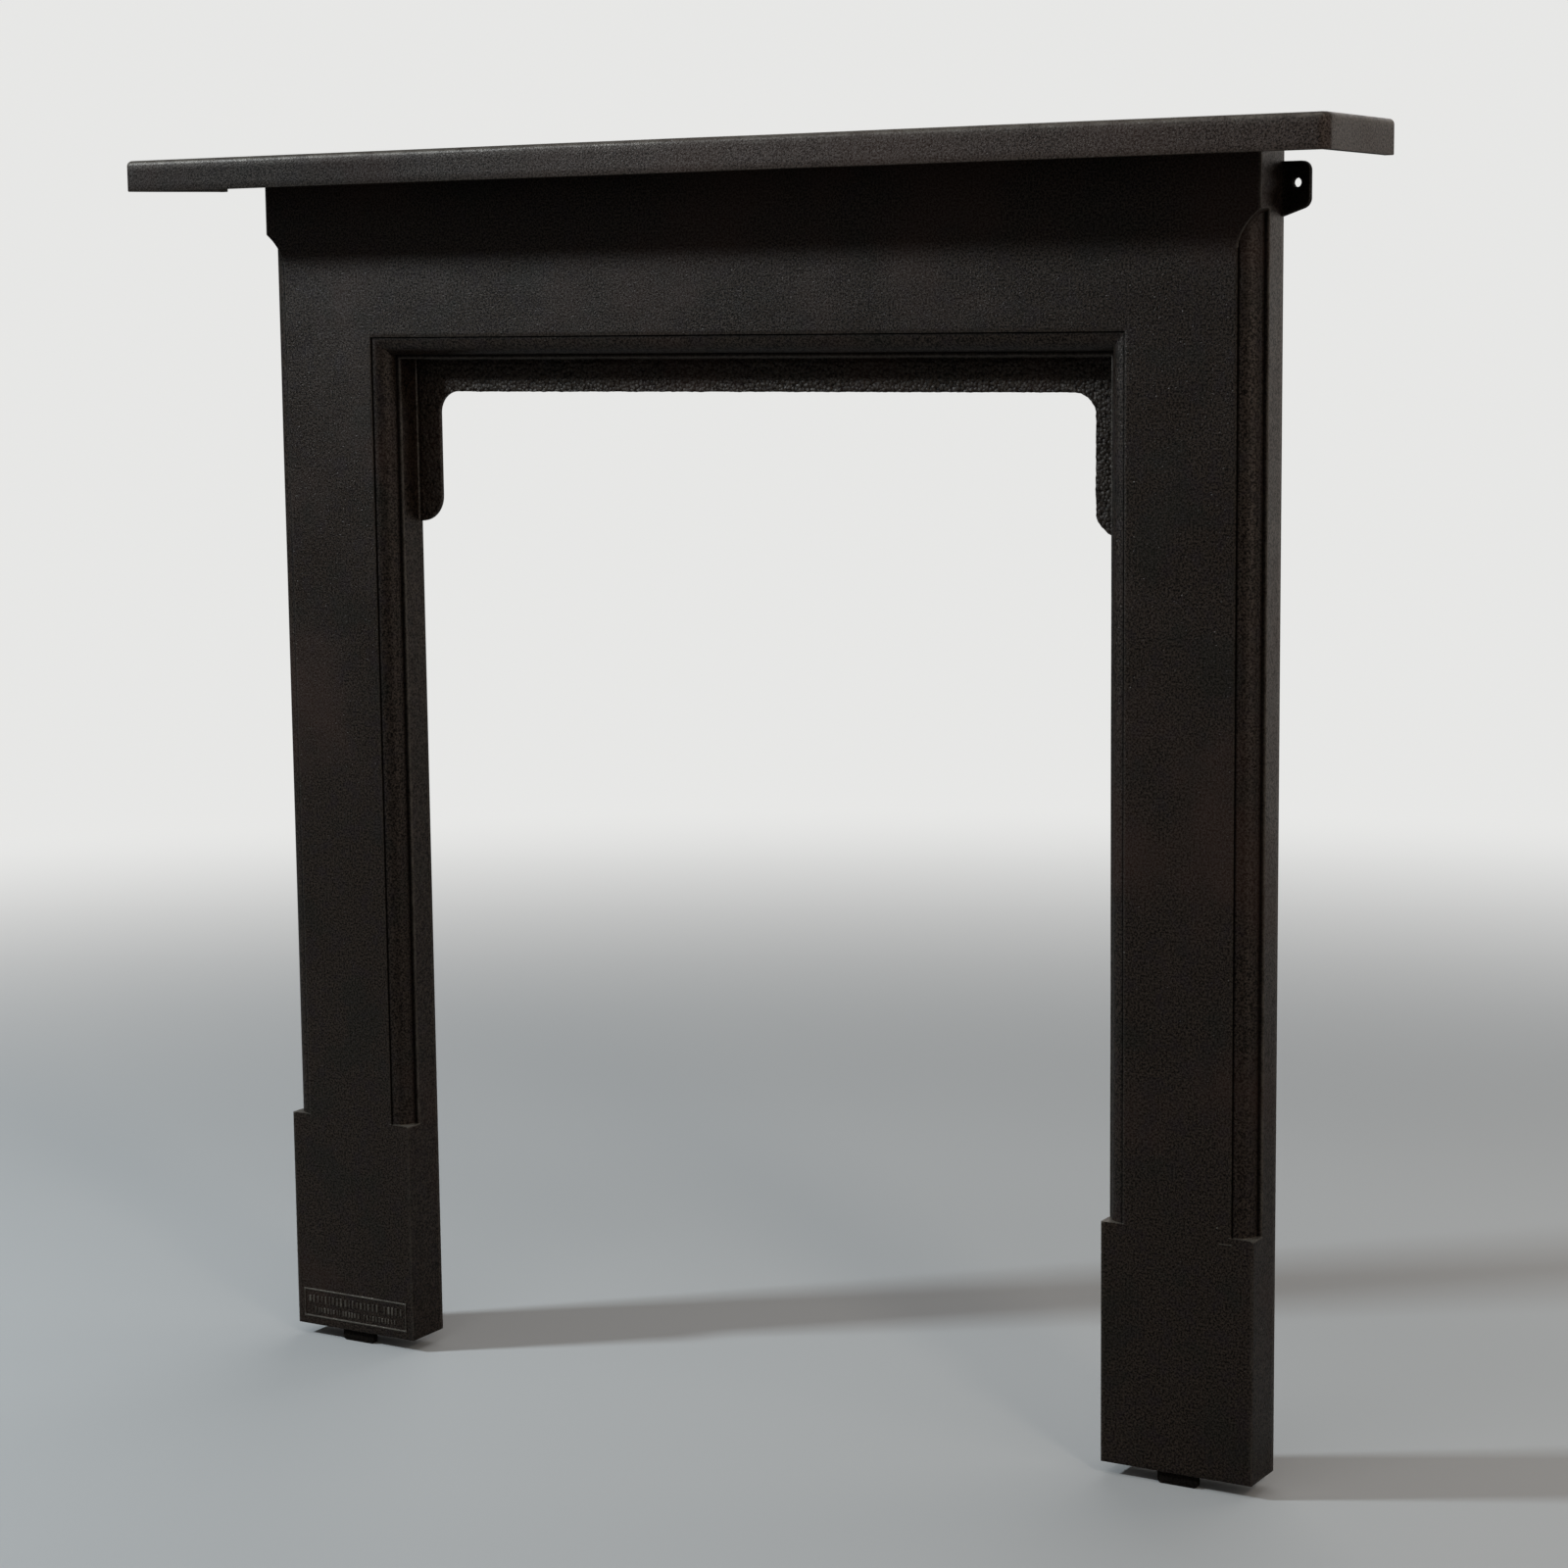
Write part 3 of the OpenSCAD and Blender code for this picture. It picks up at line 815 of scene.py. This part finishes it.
def sand_cast_grain():
    """Grain that a sand mould leaves: its height in metres, and its grit and pebbles as masks.

    Height = waves + lumps + grit - pinholes, plus a dome on each cell where the pebble mask is on.
    """
    tree, n, given, out = new_group("sand_cast_grain", [("Vector", "Vector", None), ("Pebble", "Float", 0.0)],
                                    [("Height", "Float"), ("Grit", "Float"), ("Dome", "Float")])
    wave_h, lump_h, grit_h, pinhole_h, pebble_h = 0.0007, 0.00013, 0.00032, 0.0002, 0.0014
    waves = n.noise(given["Vector"], 22, 2.0, 0.5)
    lumps = n.noise(given["Vector"], 420, 2.0, 0.6)
    grit = n.noise(given["Vector"], 900, 2.0, 0.6)
    cells = n.add("ShaderNodeTexVoronoi", {"Vector": given["Vector"], "Scale": 150.0})
    pinhole = n.math("SUBTRACT", 1.0, n.ramp(cells.outputs["Distance"], 0.05, 0.16))
    stones = n.add("ShaderNodeTexVoronoi", {"Vector": given["Vector"], "Scale": 290.0})
    dome = n.math("SUBTRACT", 1.0, n.math("POWER", stones.outputs["Distance"], 2.0))
    height = n.math("ADD", n.math("MULTIPLY", lumps, lump_h), n.math("MULTIPLY", grit, grit_h))
    height = n.math("ADD", height, n.math("MULTIPLY", waves, wave_h))
    height = n.math("SUBTRACT", height, n.math("MULTIPLY", pinhole, pinhole_h))
    rough = n.math("MULTIPLY", dome, n.math("MULTIPLY", given["Pebble"], pebble_h))
    tree.links.new(n.math("ADD", height, rough), out.inputs["Height"])
    tree.links.new(grit, out.inputs["Grit"])
    tree.links.new(n.math("MULTIPLY", dome, given["Pebble"]), out.inputs["Dome"])
    return tree


def worn_and_lit_edges():
    """How far the black is rubbed off, or lightened as a painted highlight: edge mask times amount, made
    uneven by noise and at most 1.
    """
    tree, n, given, out = new_group("worn_and_lit_edges", [("Vector", "Vector", None), ("Edge", "Float", 0.0),
                                                   ("Amount", "Float", 0.5)], [("WearAndHighlight", "Float")])
    broken = n.ramp(n.noise(given["Vector"], 60, 4.0, 0.65), 0.35, 0.65)
    share = n.math("ADD", 0.4, n.math("MULTIPLY", broken, 0.6))
    worn_and_lit = n.math("MULTIPLY", n.math("MULTIPLY", given["Edge"], given["Amount"]), share)
    tree.links.new(n.math("MINIMUM", worn_and_lit, 1.0), out.inputs["WearAndHighlight"])
    return tree


def blackened_colour():
    """Black lead over iron: warm black, finely speckled, with violet, green and brown shades in patches."""
    tree, n, given, out = new_group("blackened_colour", [("Vector", "Vector", None), ("Bloom", "Float", 0.3)],
                                    [("Color", "Color"), ("Patch", "Float"), ("Speck", "Float")])
    patch = n.noise(given["Vector"], 6, 4.0, 0.6)
    tint = n.noise(given["Vector"], 55, 3.0, 0.6)
    shade = n.noise(given["Vector"], 17, 3.0, 0.6)
    speck = n.ramp(n.noise(given["Vector"], 520, 2.0, 0.7), 0.36, 0.64)
    base = n.mix(speck, SPECK_DARK, SPECK_LIGHT)
    base = n.mix(n.math("MULTIPLY", n.ramp(tint, 0.50, 0.66), 0.50), base, VIOLET_SHADE)
    base = n.mix(n.math("MULTIPLY", n.ramp(shade, 0.52, 0.66), 0.50), base, GREEN_SHADE)
    bloom = n.math("MULTIPLY", n.ramp(patch, 0.46, 0.66), given["Bloom"])
    base = n.mix(bloom, base, BROWN_BLOOM)
    tree.links.new(base, out.inputs["Color"])
    tree.links.new(patch, out.inputs["Patch"])
    tree.links.new(speck, out.inputs["Speck"])
    return tree


def settled_dust_and_top_light():
    """Dusting on faces that look up, which also stands in as painted light on them: the height of the surface
    normal, broken up by noise.
    """
    tree, n, given, out = new_group("settled_dust_and_top_light", [("Vector", "Vector", None), ("Amount", "Float", 0.2)],
                                    [("DustAndTopLight", "Float")])
    normal = n.add("ShaderNodeNewGeometry").outputs["Normal"]
    up = n.add("ShaderNodeSeparateXYZ", {"Vector": normal}).outputs["Z"]
    cloud = n.noise(given["Vector"], 30, 3.0, 0.6)
    dust_and_top_light = n.math("MULTIPLY", n.ramp(up, 0.6, 1.0), n.math("MULTIPLY", cloud, given["Amount"]))
    tree.links.new(dust_and_top_light, out.inputs["DustAndTopLight"])
    return tree


GROUPS = {make.__name__: make() for make in (sand_cast_grain, worn_and_lit_edges, blackened_colour, settled_dust_and_top_light)}


def new_material(name):
    """An empty node material, its nodes, and the object's own coordinates."""
    material = bpy.data.materials.new(name)
    material.use_nodes = True
    material.node_tree.nodes.clear()
    n = Nodes(material.node_tree)
    place = n.add("ShaderNodeTexCoord").outputs["Object"]
    return material, n, place


def use_group(n, name, values):
    """Places a shared group in a material with that material's values."""
    return n.add("ShaderNodeGroup", values, node_tree=GROUPS[name]).outputs


def cast_iron(name, bloom, wear_and_highlight, polish, dust_and_top_light):
    """Black-leaded cast iron, from the bottom layer up: black, rust, rubbed edges with painted highlights,
    pebble tops lightened as a painted highlight, dusting with painted light on up-facing faces, and a
    near-black for dirt and painted shade.

    Speckles shine, rubbed edges are smoother, and the darkened or pebbled places are duller.
    """
    material, n, place = new_material(name)
    edge, pebble, grime_and_shade, rust = (n.add("ShaderNodeAttribute", attribute_name=mask).outputs["Fac"]
                                 for mask in ("wear_and_highlight", "pebble", "grime_and_shade", "rust"))
    grain = use_group(n, "sand_cast_grain", {"Vector": place, "Pebble": pebble})
    colour = use_group(n, "blackened_colour", {"Vector": place, "Bloom": bloom})
    worn_and_lit = use_group(n, "worn_and_lit_edges", {"Vector": place, "Edge": edge, "Amount": wear_and_highlight})["WearAndHighlight"]
    dusty_and_top_lit = use_group(n, "settled_dust_and_top_light", {"Vector": place, "Amount": dust_and_top_light})["DustAndTopLight"]
    rusted = n.math("MULTIPLY", rust, n.math("ADD", 0.15, n.math("MULTIPLY", colour["Speck"], 0.85)))
    base = n.mix(rusted, colour["Color"], RUST)
    # Lighter where rubbed, and where the mask carries painted highlights: plinth ledges, the stop's arc, the
    # flange root, the shelf's top edge, the plate's level bars
    base = n.mix(n.math("MULTIPLY", worn_and_lit, 0.80), base, BARE_IRON_AND_HIGHLIGHT)
    # Painted highlight: the tops of the pebbles are made lighter
    base = n.mix(n.math("MULTIPLY", n.ramp(grain["Dome"], 0.55, 0.98), 0.60), base, PEBBLE_TOP_HIGHLIGHT)
    # Lighter on faces that look up: partly dusting, partly painted light
    base = n.mix(dusty_and_top_lit, base, DUST_AND_TOP_LIGHT)
    # Near-black for dirt and for painted shade, by the one mask of both
    base = n.mix(n.math("MULTIPLY", grime_and_shade, 0.85), base, GRIME_AND_SHADE_BLACK)
    rough = n.math("ADD", polish, n.math("MULTIPLY", grain["Grit"], 0.18))
    rough = n.math("ADD", rough, n.math("MULTIPLY", colour["Patch"], 0.35))
    rough = n.math("SUBTRACT", rough, n.math("MULTIPLY", worn_and_lit, 0.10))
    rough = n.math("ADD", rough, n.math("MULTIPLY", grime_and_shade, 0.4))
    rough = n.math("ADD", rough, n.math("MULTIPLY", pebble, 0.12))
    gloss = n.math("ADD", 0.16, n.math("MULTIPLY", colour["Speck"], 0.46))
    gloss = n.math("MULTIPLY", gloss, n.math("SUBTRACT", 1.0, n.math("MULTIPLY", grime_and_shade, 0.8)))
    gloss = n.math("MULTIPLY", gloss, n.math("SUBTRACT", 1.0, n.math("MULTIPLY", pebble, 0.30)))
    bump = n.add("ShaderNodeBump", {"Strength": 1.0, "Distance": 1.0, "Height": grain["Height"]})
    shader = n.add("ShaderNodeBsdfPrincipled", {
        "Base Color": base, "Roughness": rough, "Metallic": n.math("MULTIPLY", worn_and_lit, 0.4),
        "Normal": bump.outputs["Normal"], "IOR": 1.5, "Specular Tint": WARM_SHEEN,
        "Specular IOR Level": gloss})
    n.add("ShaderNodeOutputMaterial", {"Surface": shader.outputs[0]})
    return material


def floor_finish():
    """Pale matt floor near the object; further off the camera sees only the backdrop's plain tone."""
    material, n, place = new_material("studio_floor")
    away = n.add("ShaderNodeVectorMath", {0: place}, operation="LENGTH").outputs["Value"]
    seen = n.add("ShaderNodeLightPath").outputs["Is Camera Ray"]
    tone = n.mix(seen, FLOOR_LIT, FLOOR_SEEN)
    matt = n.add("ShaderNodeBsdfPrincipled", {"Base Color": tone, "Roughness": 0.8})
    far = n.add("ShaderNodeBsdfPrincipled", {"Base Color": FLOOR_FAR, "Roughness": 0.9})
    glow = n.add("ShaderNodeEmission", {"Color": (*BACKDROP, 1), "Strength": 1.0})
    beyond = n.add("ShaderNodeMixShader", {0: seen, 1: far.outputs[0], 2: glow.outputs[0]})
    share = n.ramp(away, 1.7, 4.2)
    whole = n.add("ShaderNodeMixShader", {0: share, 1: matt.outputs[0], 2: beyond.outputs[0]})
    n.add("ShaderNodeOutputMaterial", {"Surface": whole.outputs[0]})
    return material


def studio_world():
    """Pale to the camera, and a dim even fill to everything else."""
    world = bpy.data.worlds.new("studio")
    bpy.context.scene.world = world
    world.use_nodes = True
    world.node_tree.nodes.clear()
    n = Nodes(world.node_tree)
    seen = n.add("ShaderNodeLightPath").outputs["Is Camera Ray"]
    fill = n.add("ShaderNodeBackground", {"Color": SKY_FILL, "Strength": 0.12})
    glow = n.add("ShaderNodeBackground", {"Color": (*BACKDROP, 1), "Strength": 1.0})
    both = n.add("ShaderNodeMixShader", {0: seen, 1: fill.outputs[0], 2: glow.outputs[0]})
    n.add("ShaderNodeOutputWorld", {"Surface": both.outputs[0]})


frame_piece = built_frame()
shelf_piece = built_shelf()
frame_piece.data.materials.append(cast_iron("frame_iron", 0.75, 0.60, 0.13, 0.25))
shelf_piece.data.materials.append(cast_iron("shelf_iron", 0.85, 0.70, 0.20, 0.25))
for piece, node in ((frame_piece, "frame"), (shelf_piece, "shelf")):
    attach(piece, "root")
    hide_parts(node)


# ---------------------------------------------------------------- studio

EYE = (1.6661, -2.7588, -0.1073)
YAW, PITCH, ROLL = 30.668, -7.716, -0.632
LENS_MM = 79.18


def camera():
    """Well back and to the right, a metre above the hearth, turned left and looking slightly down."""
    yaw, pitch, roll = (math.radians(angle) for angle in (YAW, PITCH, ROLL))
    forward = Vector((-math.sin(yaw) * math.cos(pitch), math.cos(yaw) * math.cos(pitch), math.sin(pitch)))
    level = Vector((math.cos(yaw), math.sin(yaw), 0))
    up = level.cross(forward)
    right = math.cos(roll) * level + math.sin(roll) * up
    up = right.cross(forward)
    data = bpy.data.cameras.new("camera")
    data.lens = LENS_MM
    data.sensor_width = 36.0
    eye = bpy.data.objects.new("camera", data)
    turn = Matrix((right, up, -forward)).transposed()
    eye.matrix_world = Matrix.Translation(Vector(EYE)) @ turn.to_4x4()
    bpy.context.scene.collection.objects.link(eye)
    bpy.context.scene.camera = eye
    return eye


def area_light(name, where, towards, size, watts, colour=(1, 1, 1)):
    """A rectangular lamp, unseen by the camera, at a point and aimed at another."""
    data = bpy.data.lights.new(name, "AREA")
    data.shape = "RECTANGLE"
    data.size, data.size_y = size
    data.energy = watts
    data.color = colour
    lamp = bpy.data.objects.new(name, data)
    lamp.visible_camera = False
    aim = Vector(towards) - Vector(where)
    lamp.matrix_world = Matrix.Translation(Vector(where)) @ aim.to_track_quat("-Z", "Y").to_matrix().to_4x4()
    bpy.context.scene.collection.objects.link(lamp)
    return lamp


def studio_floor():
    """A pale disc whose far part is a plain pale glow to the camera alone, so that no horizon shows."""
    rings, spokes = np.array([0.0, 0.5, 1, 1.5, 2, 3, 5, 8, 14, 30, 60]), 64
    angle = np.linspace(0, 2 * np.pi, spokes, endpoint=False)
    x = rings[:, None] * np.cos(angle)
    y = rings[:, None] * np.sin(angle)
    points = np.stack([x, y, np.full(x.shape, HEARTH_Z)], axis=-1).reshape(-1, 3)
    quads = grid_faces(len(rings), spokes, closed_columns=True)
    points, faces, _ = welded(points, quads, [], {})
    mesh = bpy.data.meshes.new("studio_floor")
    mesh.from_pydata(points.tolist(), [], faces)
    floor = bpy.data.objects.new("studio_floor", mesh)
    bpy.context.scene.collection.objects.link(floor)
    mesh.materials.append(floor_finish())


camera()
studio_floor()
studio_world()
area_light("key_left", (-2.60, -1.80, 1.35), (-0.2, 0, -0.2), (0.35, 0.35), 82, (0.80, 0.92, 1.0))
area_light("key_right", (2.60, -1.80, 1.20), (0, 0, -0.35), (0.40, 0.40), 12, (1.0, 0.90, 0.78))
area_light("right", (2.50, -0.75, -0.10), (0, 0, -0.5), (1.2, 1.6), 5, (1.0, 0.92, 0.84))
area_light("overhead", (0.3, -1.2, 2.1), (0, 0, -0.2), (1.4, 0.7), 8)
area_light("side_sheen", (1.25, 1.30, -0.15), (0.5, 0, -0.4), (1.2, 1.5), 3.8, (1.0, 0.95, 0.88))
area_light("behind", (-0.6, 2.9, 1.5), (0, 0, -0.4), (3.2, 2.0), 24)
bpy.context.scene.view_settings.view_transform = "Standard"
